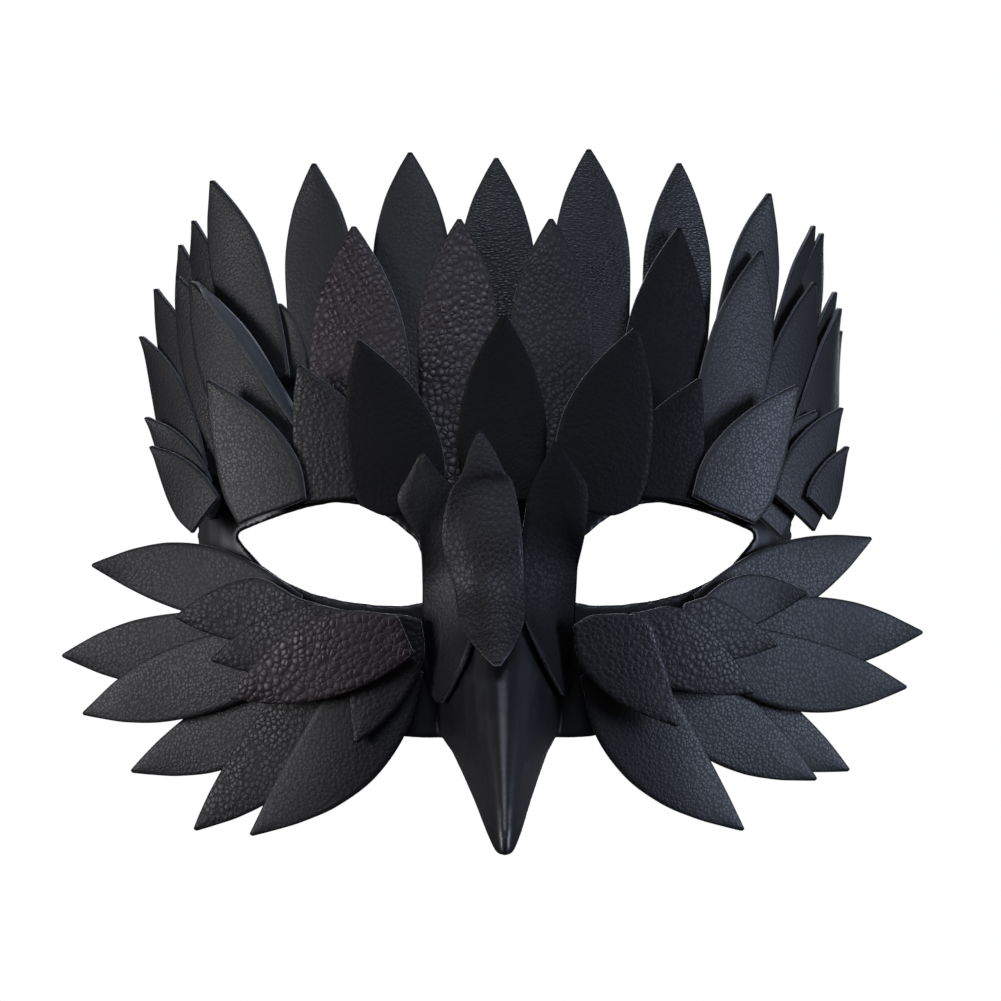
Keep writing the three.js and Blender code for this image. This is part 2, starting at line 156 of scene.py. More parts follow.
def ramp(
    tree: bpy.types.NodeTree,
    factor: bpy.types.NodeSocket,
    low: Colour,
    high: Colour,
    start: float = 0.0,
    end: float = 1.0,
) -> bpy.types.NodeSocket:
    """Maps a value between two positions to two colours.

    Args:
        tree: the node tree.
        factor: the value read.
        low: the linear colour at start.
        high: the linear colour at end.
        start: where low ends.
        end: where high begins.

    Returns:
        The colour socket.
    """
    node = add_node(tree, "ShaderNodeValToRGB", {"Fac": factor})
    first, last = node.color_ramp.elements
    first.position, last.position = start, end
    first.color, last.color = low, high
    return node.outputs["Color"]


def remap(
    tree: bpy.types.NodeTree,
    value: bpy.types.NodeSocket,
    source: tuple[float, float],
    target: tuple[float, float],
) -> bpy.types.NodeSocket:
    """Maps a value from one range to another and holds it there.

    Args:
        tree: the node tree.
        value: the value read.
        source: the range it comes in.
        target: the range it leaves in.

    Returns:
        The mapped value's socket.
    """
    ends = {"From Min": source[0], "From Max": source[1], "To Min": target[0], "To Max": target[1]}
    return add_node(tree, "ShaderNodeMapRange", {"Value": value, **ends}).outputs["Result"]


def mottle(
    tree: bpy.types.NodeTree, place: bpy.types.NodeSocket, size_mm: float, **inputs: float
) -> bpy.types.NodeSocket:
    """Makes a noise of a given size.

    Args:
        tree: the node tree.
        place: the position in metres.
        size_mm: how far apart the noise's lumps are.
        inputs: the noise node's other inputs, by name.

    Returns:
        The noise's value.
    """
    scale = 1 / (size_mm * MM)
    return add_node(tree, "ShaderNodeTexNoise", {"Vector": place, "Scale": scale, **inputs}).outputs["Fac"]


def bent(tree: bpy.types.NodeTree, height: bpy.types.NodeSocket, depth_mm: float) -> bpy.types.NodeSocket:
    """Bends the surface's normal to a height.

    Args:
        tree: the node tree.
        height: the height, from 0 to 1.
        depth_mm: how deep a height of 1 is.

    Returns:
        The bent normal.
    """
    inputs = {"Height": height, "Distance": depth_mm * MM, "Strength": 1.0}
    return add_node(tree, "ShaderNodeBump", inputs).outputs["Normal"]


# ------------------------------------------------------------------ finishes


class Grain(Enum):
    """How a hide's surface was pressed."""

    LARGE_PEBBLE = "large_pebble"
    MEDIUM_PEBBLE = "medium_pebble"
    FINE_PEBBLE = "fine_pebble"
    CREASED = "creased"
    SMOOTH = "smooth"
    # painted shade: a darker copy of the leather for feathers that lie in shade
    MATT = "matt"


@dataclass(frozen=True)
class LeatherFinish:
    """Full-grain cowhide, drum-dyed black and pressed with a grain.

    Each pebble is a small polished dome with its own point of light, in a net of thin matt creases coloured
    darker as painted shade.
    """

    grain: Grain
    cell_mm: float
    depth_mm: float
    stretch: float = 1.0
    # colour of the domes; the warm, lighter crowns of the large and medium pebbles are painted sheen, the
    # matt hide's darker crown painted shade
    crown: str = "#0e0f12"
    # painted shade: the colour of the net of creases between the domes, darker than the domes
    crease: str = "#050507"
    matt: float = 0.62
    polished: float = 0.36
    pores: float = 0.22
    gloss: float = 0.5
    wander: float = 0.4  # lumps of wander to a cell
    sway: float = 0.5  # how far a border wanders, in cells
    softness: float = 0.12
    crease_width: float = 0.12
    crease_share: float = 0.4
    pores_per_cell: float = 2.6
    pressing_mm: float = 17.0
    pressing_noise: tuple[float, float] = (0.32, 0.66)
    pressing: tuple[float, float] = (0.45, 1.0)  # the lightest and the full press
    relief_span: tuple[float, float] = (0.3, 1.2)

    def material(self) -> bpy.types.Material:
        """Builds the skin side of the leather.

        Returns:
            The material.
        """
        material, tree, place = new_material(f"cowhide_{self.grain.value}")
        per_cell = 1 / (self.cell_mm * MM)
        wander = add_node(
            tree, "ShaderNodeTexNoise", {"Vector": place, "Scale": per_cell * self.wander, "Detail": 2.0}
        )
        sway = (self.cell_mm * MM * self.sway,) * 3
        shift = add_node(
            tree, "ShaderNodeVectorMath", {0: wander.outputs["Color"], 1: sway}, operation="MULTIPLY"
        ).outputs[0]
        moved = add_node(tree, "ShaderNodeVectorMath", {0: place, 1: shift}, operation="ADD").outputs[0]
        drawn = add_node(
            tree, "ShaderNodeVectorMath", {0: moved, 1: (1.0, 1.0, self.stretch)}, operation="MULTIPLY"
        ).outputs[0]
        cells = {"Vector": drawn, "Scale": per_cell}
        centre = add_node(
            tree, "ShaderNodeTexVoronoi", {**cells, "Smoothness": self.softness}, feature="SMOOTH_F1"
        )
        border = add_node(tree, "ShaderNodeTexVoronoi", cells, feature="DISTANCE_TO_EDGE")
        away = centre.outputs["Distance"]
        square = add_node(tree, "ShaderNodeMath", {0: away, 1: away}, operation="MULTIPLY").outputs[0]
        dome = remap(tree, square, (0.0, 0.5), (1.0, 0.0))
        net = remap(tree, border.outputs["Distance"], (0.0, self.crease_width), (0.0, 1.0))
        pored = {"Vector": drawn, "Scale": per_cell * self.pores_per_cell, "Detail": 5.0, "Roughness": 0.65}
        pores = add_node(tree, "ShaderNodeTexNoise", pored).outputs["Fac"]
        broad = mottle(tree, place, self.pressing_mm, Detail=3.0, Roughness=0.55)
        pressed = remap(tree, broad, self.pressing_noise, self.pressing)
        relief = add_node(
            tree, "ShaderNodeMath", {0: net, 1: self.crease_share, 2: dome}, operation="MULTIPLY_ADD"
        ).outputs[0]
        relief = add_node(tree, "ShaderNodeMath", {0: relief, 1: pressed}, operation="MULTIPLY").outputs[0]
        relief = add_node(
            tree, "ShaderNodeMath", {0: pores, 1: self.pores, 2: relief}, operation="MULTIPLY_ADD"
        ).outputs[0]
        # painted shade: the creases are coloured darker than the domes
        colour = ramp(tree, net, srgb(self.crease), srgb(self.crown))
        rough = remap(tree, relief, self.relief_span, (self.matt, self.polished))
        shader = add_node(
            tree, "ShaderNodeBsdfPrincipled",
            {"Base Color": colour, "Roughness": rough, "Normal": bent(tree, relief, self.depth_mm),
             "IOR": 1.5, "Specular IOR Level": self.gloss},
        )
        finish_material(tree, shader)
        return material


@dataclass(frozen=True)
class RawEdge:
    """The cut edge of the hide: undyed fibre that stays paler than both faces."""

    fibre: str = "#5b626e"
    dye: str = "#22252b"
    fibre_mm: float = 0.35
    depth_mm: float = 0.12
    spread: tuple[float, float] = (0.35, 0.68)

    def material(self) -> bpy.types.Material:
        """Builds the cut edge.

        Returns:
            The material.
        """
        material, tree, place = new_material("cowhide_cut_edge")
        fibres = mottle(tree, place, self.fibre_mm, Detail=4.0)
        colour = ramp(tree, fibres, srgb(self.dye), srgb(self.fibre), *self.spread)
        shader = add_node(
            tree, "ShaderNodeBsdfPrincipled",
            {"Base Color": colour, "Roughness": 0.9, "Normal": bent(tree, fibres, self.depth_mm),
             "IOR": 1.45, "Sheen Weight": 0.4},
        )
        finish_material(tree, shader)
        return material


@dataclass(frozen=True)
class Suede:
    """The flesh side of the hide, buffed to a short blue-black nap."""

    deep: str = "#15181d"
    nap: str = "#242a33"
    nap_mm: float = 0.5
    brushing_mm: float = 9.0
    depth_mm: float = 0.1
    spread: tuple[float, float] = (0.75, 1.0)

    def material(self) -> bpy.types.Material:
        """Builds the suede side.

        Returns:
            The material.
        """
        material, tree, place = new_material("suede_flesh_side")
        nap = mottle(tree, place, self.nap_mm, Detail=6.0, Roughness=0.7)
        brushed = mottle(tree, place, self.brushing_mm, Detail=2.0, Distortion=0.6)
        blend = add_node(tree, "ShaderNodeMath", {0: nap, 1: brushed}, operation="ADD").outputs[0]
        colour = ramp(tree, blend, srgb(self.deep), srgb(self.nap), *self.spread)
        shader = add_node(
            tree, "ShaderNodeBsdfPrincipled",
            {"Base Color": colour, "Roughness": 0.95, "Normal": bent(tree, nap, self.depth_mm),
             "IOR": 1.4, "Sheen Weight": 0.6, "Sheen Roughness": 0.5},
        )
        finish_material(tree, shader)
        return material


@dataclass(frozen=True)
class MouldedPlastic:
    """Black ABS from a lightly blasted mould: an even satin face with a faint orange peel."""

    colour: str = "#0f1013"
    roughness: tuple[float, float] = (0.36, 0.44)
    peel_mm: float = 1.6
    depth_mm: float = 0.012
    handling_mm: float = 18.0

    def material(self) -> bpy.types.Material:
        """Builds the shell's plastic.

        Returns:
            The material.
        """
        material, tree, place = new_material("moulded_abs_satin")
        peel = mottle(tree, place, self.peel_mm, Detail=3.0)
        handling = mottle(tree, place, self.handling_mm, Detail=4.0, Roughness=0.6)
        rough = remap(tree, handling, (0.3, 0.7), self.roughness)
        shader = add_node(
            tree, "ShaderNodeBsdfPrincipled",
            {"Base Color": srgb(self.colour), "Roughness": rough,
             "Normal": bent(tree, peel, self.depth_mm), "IOR": 1.54},
        )
        finish_material(tree, shader)
        return material


@dataclass(frozen=True)
class Felt:
    """Pressed wool felt: a soft mat of fibres with no weave."""

    name: str = "pressed_wool_felt"
    deep: str = "#101012"
    fibre: str = "#2d2d31"
    fibre_mm: float = 0.6
    depth_mm: float = 0.25
    spread: tuple[float, float] = (0.35, 0.7)

    def material(self) -> bpy.types.Material:
        """Builds the felt.

        Returns:
            The material.
        """
        material, tree, place = new_material(self.name)
        fibres = mottle(tree, place, self.fibre_mm, Detail=8.0, Roughness=0.75, Distortion=1.2)
        colour = ramp(tree, fibres, srgb(self.deep), srgb(self.fibre), *self.spread)
        shader = add_node(
            tree, "ShaderNodeBsdfPrincipled",
            {"Base Color": colour, "Roughness": 1.0, "Normal": bent(tree, fibres, self.depth_mm),
             "IOR": 1.4, "Sheen Weight": 0.5},
        )
        finish_material(tree, shader)
        return material


@dataclass(frozen=True)
class BlackNickel:
    """Brass plated with black nickel: a dark mirror with fine polishing marks."""

    colour: str = "#55575c"
    roughness: tuple[float, float] = (0.2, 0.34)
    marks_mm: float = 1.2

    def material(self) -> bpy.types.Material:
        """Builds the eyelets' metal.

        Returns:
            The material.
        """
        material, tree, place = new_material("black_nickel_plate")
        marks = mottle(tree, place, self.marks_mm, Detail=5.0, Roughness=0.7)
        rough = remap(tree, marks, (0.3, 0.7), self.roughness)
        metal = {"Base Color": srgb(self.colour), "Metallic": 1.0, "Roughness": rough}
        finish_material(tree, add_node(tree, "ShaderNodeBsdfPrincipled", metal))
        return material


LEATHERS = (
    # painted sheen: the large and medium pebbles' crowns are warm and lighter, standing in for a pinkish
    # sheen
    LeatherFinish(Grain.LARGE_PEBBLE, cell_mm=1.5, depth_mm=0.18, crown="#211519", polished=0.38),
    LeatherFinish(
        Grain.MEDIUM_PEBBLE, cell_mm=1.15, depth_mm=0.1, crown="#151214", polished=0.43, gloss=0.4
    ),
    LeatherFinish(Grain.FINE_PEBBLE, cell_mm=0.9, depth_mm=0.04, matt=0.58, polished=0.48, gloss=0.42),
    LeatherFinish(Grain.CREASED, cell_mm=1.2, depth_mm=0.12, stretch=2.2, polished=0.4, crown="#101216"),
    LeatherFinish(Grain.SMOOTH, cell_mm=0.8, depth_mm=0.045, matt=0.6, polished=0.46),
    # painted shade: the matt hide's crown is a darker copy of the leather
    LeatherFinish(
        Grain.MATT, cell_mm=0.9, depth_mm=0.05, crown="#060607", matt=0.7, polished=0.54, gloss=0.18
    ),
)


# ------------------------------------------------------------------ mesh helpers


def link_mesh(name: str, mesh: bpy.types.Mesh) -> bpy.types.Object:
    """Puts a mesh in the scene as an object that rides on the mask.

    Args:
        name: the object's name.
        mesh: its mesh.

    Returns:
        The object.
    """
    thing = bpy.data.objects.new(name, mesh)
    bpy.context.scene.collection.objects.link(thing)
    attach(thing, BODY)
    return thing


def merged_copy(node: bpy.types.Object) -> bmesh.types.BMesh:
    """A node's mesh with the corners of its facets joined.

    Args:
        node: the node read.

    Returns:
        The joined copy, for the caller to free.
    """
    work = bmesh.new()
    work.from_mesh(node.data)
    bmesh.ops.remove_doubles(work, verts=work.verts, dist=WELD_M)
    work.normal_update()
    return work


def spline_through(points: np.ndarray, count: int) -> np.ndarray:
    """Resamples rows of points along a Catmull-Rom curve through them.

    Args:
        points: an array of rows, each row any shape.
        count: how many rows to give back.

    Returns:
        The resampled rows, spaced by the rows' own distance apart.
    """
    gaps = np.linalg.norm((points[1:] - points[:-1]).reshape(len(points) - 1, -1), axis=1)
    knots = np.concatenate([[0.0], np.cumsum(gaps)])
    padded = np.concatenate([2 * points[:1] - points[1:2], points, 2 * points[-1:] - points[-2:-1]])
    rows = []
    for at in np.linspace(0, knots[-1], count):
        i = int(min(np.searchsorted(knots, at, side="right") - 1, len(points) - 2))
        span = max(knots[i + 1] - knots[i], 1e-9)
        t = (at - knots[i]) / span
        before, a, b, after = padded[i : i + 4]
        left = (b - before) * span / (span + (knots[i] - knots[i - 1] if i else span))
        right_span = knots[i + 2] - knots[i + 1] if i + 2 < len(knots) else span
        right = (after - a) * span / (span + right_span)
        h = (2 * t**3 - 3 * t**2 + 1, t**3 - 2 * t**2 + t, -2 * t**3 + 3 * t**2, t**3 - t**2)
        rows.append(h[0] * a + h[1] * left + h[2] * b + h[3] * right)
    return np.array(rows)


# ------------------------------------------------------------------ feathers


@dataclass
class FeatherCut:
    """One leather feather, cut again from its node's outline with more shape than the node has."""

    node_name: str
    curl_mm: float = 0.8
    cup_mm: float = 0.25
    cup_at_root: float = 0.35
    held: float = 0.45  # the share of the length that is glued down
    warp_mm: float = 16.0
    warp_held: float = 0.12
    warp_free: float = 0.9
    roll_mm: float = 0.0
    roll_spare: float = 0.7
    roll_radius_mm: float = 1.0
    roll_turn: float = 2.6  # radians
    roll_end: float = 0.95
    roll_fullness: float = 0.6
    roll_most: float = 0.45  # of the feather's width
    along: int = 46
    across: int = 15
    thickness_mm: float = 1.0
    edge_mm: float = 0.16

    def sheets(self, node: bpy.types.Object) -> tuple[np.ndarray, np.ndarray]:
        """Reads the skin side and the flesh side as grids of points, tip first.

        Args:
            node: the feather's node.

        Returns:
            The outer and the inner grid, each of stations by four points.
        """
        work = merged_copy(node)
        partner = self.partners(work)
        outwards = sum((v.co for v in work.verts), Vector()) / len(work.verts)
        outwards = Vector((outwards.x, outwards.y - HEAD_CENTRE_MM * MM, 0.0))
        skin = {v for v in work.verts if (v.co - partner[v].co).dot(outwards) > 0}
        grid = self.grid_of([f for f in work.faces if all(v in skin for v in f.verts)])
        outer = np.array([[v.co[:] for v in row] for row in grid])
        inner = np.array([[partner[v].co[:] for v in row] for row in grid])
        work.free()
        return outer, inner

    def partners(self, work: bmesh.types.BMesh) -> dict[bmesh.types.BMVert, bmesh.types.BMVert]:
        """Pairs each corner with the one that lies straight through the leather from it.

        Args:
            work: the node's mesh.

        Returns:
            Each corner's partner.
        """
        through = self.thickness_mm * MM
        return {
            v: min(
                (w for w in work.verts if w is not v), key=lambda w, v=v: abs((w.co - v.co).length - through)
            )
            for v in work.verts
        }

    @staticmethod
    def grid_of(faces: list[bmesh.types.BMFace]) -> list[list[bmesh.types.BMVert]]:
        """Finds the rows of four corners in one side of a feather.

        Args:
            faces: the side's triangles.

        Returns:
            The corners as stations by four, from the tip to the root.
        """
        inside = set(faces)
        border: dict[bmesh.types.BMVert, list[bmesh.types.BMVert]] = {}
        near: dict[bmesh.types.BMVert, set[bmesh.types.BMVert]] = {}
        for face in faces:
            for edge in face.edges:
                a, b = edge.verts
                near.setdefault(a, set()).add(b)
                near.setdefault(b, set()).add(a)
                if sum(f in inside for f in edge.link_faces) == 1:
                    border.setdefault(a, []).append(b)
                    border.setdefault(b, []).append(a)
        start = next(iter(border))
        loop = [start]
        came, here = None, start
        while True:
            onward = next(v for v in border[here] if v is not came)
            came, here = here, onward
            if here is start:
                break
            loop.append(here)
        count = len(loop)
        width = [
            sum((loop[(i + k + 1) % count].co - loop[(i + k) % count].co).length for k in range(3))
            for i in range(count)
        ]
        tip = width.index(min(width))
        loop = loop[tip:] + loop[:tip]
        rows = count // 2 - 2
        grid = [loop[0:4]]
        used = set(loop)
        for i in range(1, rows - 1):
            left, right = loop[count - i], loop[3 + i]
            inner = []
            for side, above in ((left, grid[-1][1]), (right, grid[-1][2])):
                found = next(v for v in near[side] & near[above] if v not in used)
                used.add(found)
                inner.append(found)
            grid.append([left, *inner, right])
        last = 3 + rows - 1
        grid.append([loop[last + 3], loop[last + 2], loop[last + 1], loop[last]])
        return grid

    def resampled(self, grid: np.ndarray) -> np.ndarray:
        """Refines one side of the feather.

        Args:
            grid: the side's stations by four points.

        Returns:
            The side on a fine, even mesh of points.
        """
        fine = spline_through(grid, self.along)
        return np.swapaxes(spline_through(np.swapaxes(fine, 0, 1), self.across), 0, 1)

    def shaped(self, outer: np.ndarray, inner: np.ndarray) -> tuple[np.ndarray, np.ndarray]:
        """Gives the flat cut its curl, its cupping and a slow warp.

        Args:
            outer: fine points of the skin side.
            inner: fine points of the flesh side.

        Returns:
            Both sides, moved together.
        """
        out = outer - inner
        out /= np.linalg.norm(out, axis=2, keepdims=True)
        middle = (outer + inner) / 2
        rise = np.linspace(1, 0, self.along)[:, None]
        free = np.clip((rise - self.held) / (1 - self.held), 0, 1) ** 2
        u = np.linspace(-1, 1, self.across)[None, :]
        warp = np.array([[noise.noise(Vector(p) / (self.warp_mm * MM)) for p in row] for row in middle])
        cup = self.cup_mm * u**2 * (self.cup_at_root + rise)
        lift = self.curl_mm * free - cup + warp * (self.warp_held + self.warp_free * free)
        half = out * self.thickness_mm * MM * 0.5
        middle = middle + out * (lift * MM)[..., None]
        if self.roll_mm:
            middle, half = self.rolled(middle, half)
        return middle + half, middle - half

    def rolled(self, middle: np.ndarray, half: np.ndarray) -> tuple[np.ndarray, np.ndarray]:
        """Rolls the upper long edge forward over the face, so that the flesh side shows.

        Args:
            middle: fine points of the hide's middle.
            half: half the thickness at each, pointing outwards.

        Returns:
            The points and half thicknesses after rolling.
        """
        if (middle[:, 0, 0] + middle[:, 0, 2]).mean() > (middle[:, -1, 0] + middle[:, -1, 2]).mean():
            middle, half = self.rolled(middle[:, ::-1], half[:, ::-1])
            return middle[:, ::-1], half[:, ::-1]
        radius = self.roll_radius_mm * MM
        for i, row in enumerate(middle):
            edge = row[-1].copy()
            width = np.linalg.norm(row[-1] - row[0])
            share = math.sin(math.pi * min(i / (self.along * self.roll_end), 1)) ** self.roll_fullness
            fold = min(self.roll_mm * MM * share, width * self.roll_most)
            inward = (row[0] - edge) / max(width, 1e-9)
            row += (row - row[0]) * (self.roll_spare * fold / max(width, 1e-9))
            edge = row[-1].copy()
            for j in range(self.across):
                past = fold - np.linalg.norm(row[j] - edge)
                if past <= 0:
                    continue
                out = half[i, j] / np.linalg.norm(half[i, j])
                crease = edge + inward * fold
                turn = min(past / radius, self.roll_turn)
                rest = past - turn * radius
                ahead = radius * math.sin(turn) + rest * math.cos(turn)
                up = radius * (1 - math.cos(turn)) + rest * math.sin(turn)
                middle[i, j] = crease - inward * ahead + out * up
                half[i, j] = (out * math.cos(turn) + inward * math.sin(turn)) * np.linalg.norm(half[i, j])
        return middle, half

    def mesh(self, outer: np.ndarray, inner: np.ndarray) -> bpy.types.Mesh:
        """Closes the two sides with a cut edge that is a little rounded.

        Args:
            outer: points of the skin side.
            inner: points of the flesh side.

        Returns:
            The feather's mesh, each face marked SKIN, CUT_EDGE or FLESH.
        """
        rows, columns = self.along, self.across
        rim = [(i, 0) for i in range(rows)] + [(rows - 1, j) for j in range(1, columns)]
        rim += [(i, columns - 1) for i in range(rows - 2, -1, -1)]
        rim += [(0, j) for j in range(columns - 2, 0, -1)]
        across = outer - inner
        inset = self.edge_mm / self.thickness_mm
        rings = [
            np.array([outer[p] - across[p] * inset for p in rim]),
            np.array([inner[p] + across[p] * inset for p in rim]),
        ]
        centre = outer.mean(axis=1, keepdims=True)
        on_rim = np.zeros((rows, columns, 1), dtype=bool)
        on_rim[:, [0, -1]] = True
        on_rim[[0, -1], :] = True
        reach = np.linalg.norm(outer - centre, axis=2, keepdims=True)
        step = np.where(on_rim, np.minimum(self.edge_mm * MM / np.maximum(reach, 1e-6), 0.3), 0)
        sides = [outer + (centre - outer) * step, inner + (centre - outer) * step]
        size = rows * columns
        vertices = np.concatenate([sides[0].reshape(-1, 3), sides[1].reshape(-1, 3), rings[0], rings[1]])
        faces: list[tuple[int, ...]] = []
        marks: list[int] = []
        for i in range(rows - 1):
            for j in range(columns - 1):
                a, d = i * columns + j, (i + 1) * columns + j
                b, c = a + 1, d + 1
                faces.append((a, b, c, d))
                marks.append(SKIN)
                faces.append((size + a, size + d, size + c, size + b))
                marks.append(FLESH)
        count = len(rim)
        flat = [i * columns + j for i, j in rim]
        for k in range(count):
            n = (k + 1) % count
            top, low = 2 * size + k, 2 * size + count + k
            top_n, low_n = 2 * size + n, 2 * size + count + n
            faces.append((flat[k], flat[n], top_n, top))
            faces.append((top, top_n, low_n, low))
            faces.append((low, low_n, size + flat[n], size + flat[k]))
            marks += [SKIN, CUT_EDGE, FLESH]
        mesh = bpy.data.meshes.new(f"{self.node_name}_leather")
        mesh.from_pydata([tuple(v) for v in vertices], [], faces)
        mesh.polygons.foreach_set("material_index", marks)
        work = bmesh.new()
        work.from_mesh(mesh)
        bmesh.ops.recalc_face_normals(work, faces=work.faces)
        work.to_mesh(mesh)
        work.free()
        mesh.shade_smooth()
        return mesh

    def dressed(
        self, name: str, outer: np.ndarray, inner: np.ndarray, dress: list[bpy.types.Material]
    ) -> bpy.types.Object:
        """Shapes the two sides into a feather and dresses it.

        Args:
            name: the piece's name.
            outer: the skin side's stations.
            inner: the flesh side's stations.
            dress: the skin, cut edge and suede materials.

        Returns:
            The feather.
        """
        outer, inner = self.shaped(self.resampled(outer), self.resampled(inner))
        feather = link_mesh(name, self.mesh(outer, inner))
        for material in dress:
            feather.data.materials.append(material)
        return feather

    def build(self, node: bpy.types.Object, dress: list[bpy.types.Material]) -> None:
        """Makes the feather and stands it in for its node.

        Args:
            node: the feather's node.
            dress: the skin, cut edge and suede materials.
        """
        feather = self.dressed(f"{self.node_name}_leather", *self.sheets(node), dress)
        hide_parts(self.node_name)


@dataclass(frozen=True)
class TuckedFeather:
    """A feather of which only a sliver shows, cut like a neighbour and set beside or behind it."""

    name: str
    like: str
    shift_mm: tuple[float, float, float]
    scale: float = 1.0

    def build(self, nodes: dict[str, bpy.types.Object], dress: list[bpy.types.Material]) -> None:
        """Makes the feather about its neighbour's root.

        Args:
            nodes: the frame's nodes by name.
            dress: the skin, cut edge and suede materials.
        """
        cut = FeatherCut(self.like)
        outer, inner = cut.sheets(nodes[self.like])
        pivot = outer[-1].mean(axis=0)
        thickness = inner - outer
        outer = pivot + (outer - pivot) * self.scale + np.array(self.shift_mm) * MM
        cut.dressed(self.name, outer, outer + thickness, dress)


TUCKED = (
    TuckedFeather("tucked_feather_left_1", "crown_feather_1", (-3.4, 3.4, -5.2)),
    TuckedFeather("tucked_feather_left_2", "middle_feather_2", (-2.6, 3.6, 4.8)),
    TuckedFeather("tucked_feather_right_1", "middle_feather_11", (-0.7, 4.6, 4.0)),
    TuckedFeather("tucked_feather_right_2", "middle_feather_11", (0.6, 2.8, -5.0)),
    TuckedFeather("tucked_feather_right_3", "crown_feather_9", (2.4, 3.0, -1.5)),
    TuckedFeather("tucked_feather_left_3", "crown_feather_2", (7.6, -2.6, 2.0), scale=0.35),
)


@dataclass
class Plumage:
    """Every leather feather of the mask, row by row, with the hide each was cut from."""

    hides: dict[str, list[Grain]]
    curls_mm: dict[str, float]
    rolls_mm: dict[str, float]

    @classmethod
    def as_made(cls) -> Plumage:
        """Chooses each feather's grain, from the viewer's left to right.

        Returns:
            The plumage.
        """
        large, medium, fine, creased, smooth, matt = Grain
        return cls(
            # matt hides are a darker copy of the leather as painted shade; large and medium pebbles carry
            # painted sheen
            hides={
                "crown_feather": [fine, smooth, fine, fine, creased, creased, creased, smooth, fine],
                "middle_feather": [smooth] * 4 + [large, large, medium, matt, smooth, fine, smooth],
                "brow_feather": [smooth] * 3 + [medium] + [matt] * 4 + [smooth] * 4,
                "cheek_feather_left": [fine, fine, smooth, smooth, medium, fine],
                "cheek_feather_right": [smooth, fine, fine, smooth, smooth, smooth],
                "inner_feather_left": [medium, medium, large, medium],
                "inner_feather_right": [fine, medium, medium, medium],
                "bridge_feather": [fine, medium, matt],
            },
            curls_mm={
                "crown_feather_2": 1.2,
                "middle_feather_1": 1.4,
                "brow_feather_1": 1.2,
                "brow_feather_2": 1.2,
            },
            rolls_mm={"middle_feather_4": 5.2},
        )

    def build(self, nodes: dict[str, bpy.types.Object]) -> None:
        """Cuts and dresses every feather.

        Args:
            nodes: the frame's nodes by name.
        """
        skins = {finish.grain: finish.material() for finish in LEATHERS}
        edge = RawEdge().material()
        suede = Suede().material()
        for row, grains in self.hides.items():
            for number, grain in enumerate(grains, start=1):
                name = f"{row}_{number}"
                curl = self.curls_mm.get(name, FeatherCut.curl_mm)
                roll = self.rolls_mm.get(name, FeatherCut.roll_mm)
                FeatherCut(name, curl_mm=curl, roll_mm=roll).build(nodes[name], [skins[grain], edge, suede])
            log.info("%s: %d feathers", row, len(grains))
        for extra in TUCKED:
            extra.build(nodes, [skins[Grain.SMOOTH], edge, suede])
        log.info("tucked feathers: %d", len(TUCKED))


# ------------------------------------------------------------------ shell, lining, pad and eyelets


@dataclass
class MouldedShell:
    """The half mask and beak as one moulding, with the soft edges that a mould gives."""

    voxel_mm: float = 0.5
    smoothing: int = 45

    def build(self, node: bpy.types.Object, material: bpy.types.Material) -> None:
        """Makes the shell from its node and stands it in for it.

        Args:
            node: the shell's node.
            material: its plastic.
        """
        shell = remeshed(node, "face_shell_moulding", self.voxel_mm, self.smoothing)
        shell.data.materials.append(material)
        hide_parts(node.name)
        log.info("shell: %d faces", len(shell.data.polygons))


def relaxed(mesh: bpy.types.Mesh, passes: int) -> None:
    """Smooths a mesh without shrinking it, each pass in and then a little further back out.

    Args:
        mesh: the mesh smoothed.
        passes: how many times.
    """
    points = np.empty(len(mesh.vertices) * 3)
    mesh.vertices.foreach_get("co", points)
    points = points.reshape(-1, 3)
    ends = np.empty(len(mesh.edges) * 2, dtype=int)
    mesh.edges.foreach_get("vertices", ends)
    a, b = ends.reshape(-1, 2).T
    near, far = np.concatenate([a, b]), np.concatenate([b, a])
    share = np.bincount(near, minlength=len(points))[:, None]
    for _ in range(passes):
        for factor in RELAX_STEPS:
            sums = [np.bincount(near, weights=points[far, axis], minlength=len(points)) for axis in range(3)]
            total = np.stack(sums, axis=1)
            points += factor * (total / share - points)
    mesh.vertices.foreach_set("co", points.ravel())
    mesh.update()


def remeshed(node: bpy.types.Object, name: str, voxel_mm: float, passes: int) -> bpy.types.Object:
    """A copy of a node on an even mesh with its facets and corners softened.

    Args:
        node: the node copied.
        name: the new object's name.
        voxel_mm: the size of the even mesh.
        passes: how many passes of smoothing.

    Returns:
        The new object, with no modifiers left on it.
    """
    work = merged_copy(node)
    rough = bpy.data.meshes.new(name)
    work.to_mesh(rough)
    work.free()
    thing = link_mesh(name, rough)
    remesh = thing.modifiers.new("even", "REMESH")
    remesh.mode = "VOXEL"
    remesh.voxel_size = voxel_mm * MM
    bpy.context.view_layer.update()
    graph = bpy.context.evaluated_depsgraph_get()
    mesh = bpy.data.meshes.new_from_object(thing.evaluated_get(graph))
    thing.modifiers.clear()
    thing.data = mesh
    mesh.name = name
    relaxed(mesh, passes)
    mesh.shade_smooth()
    return thing


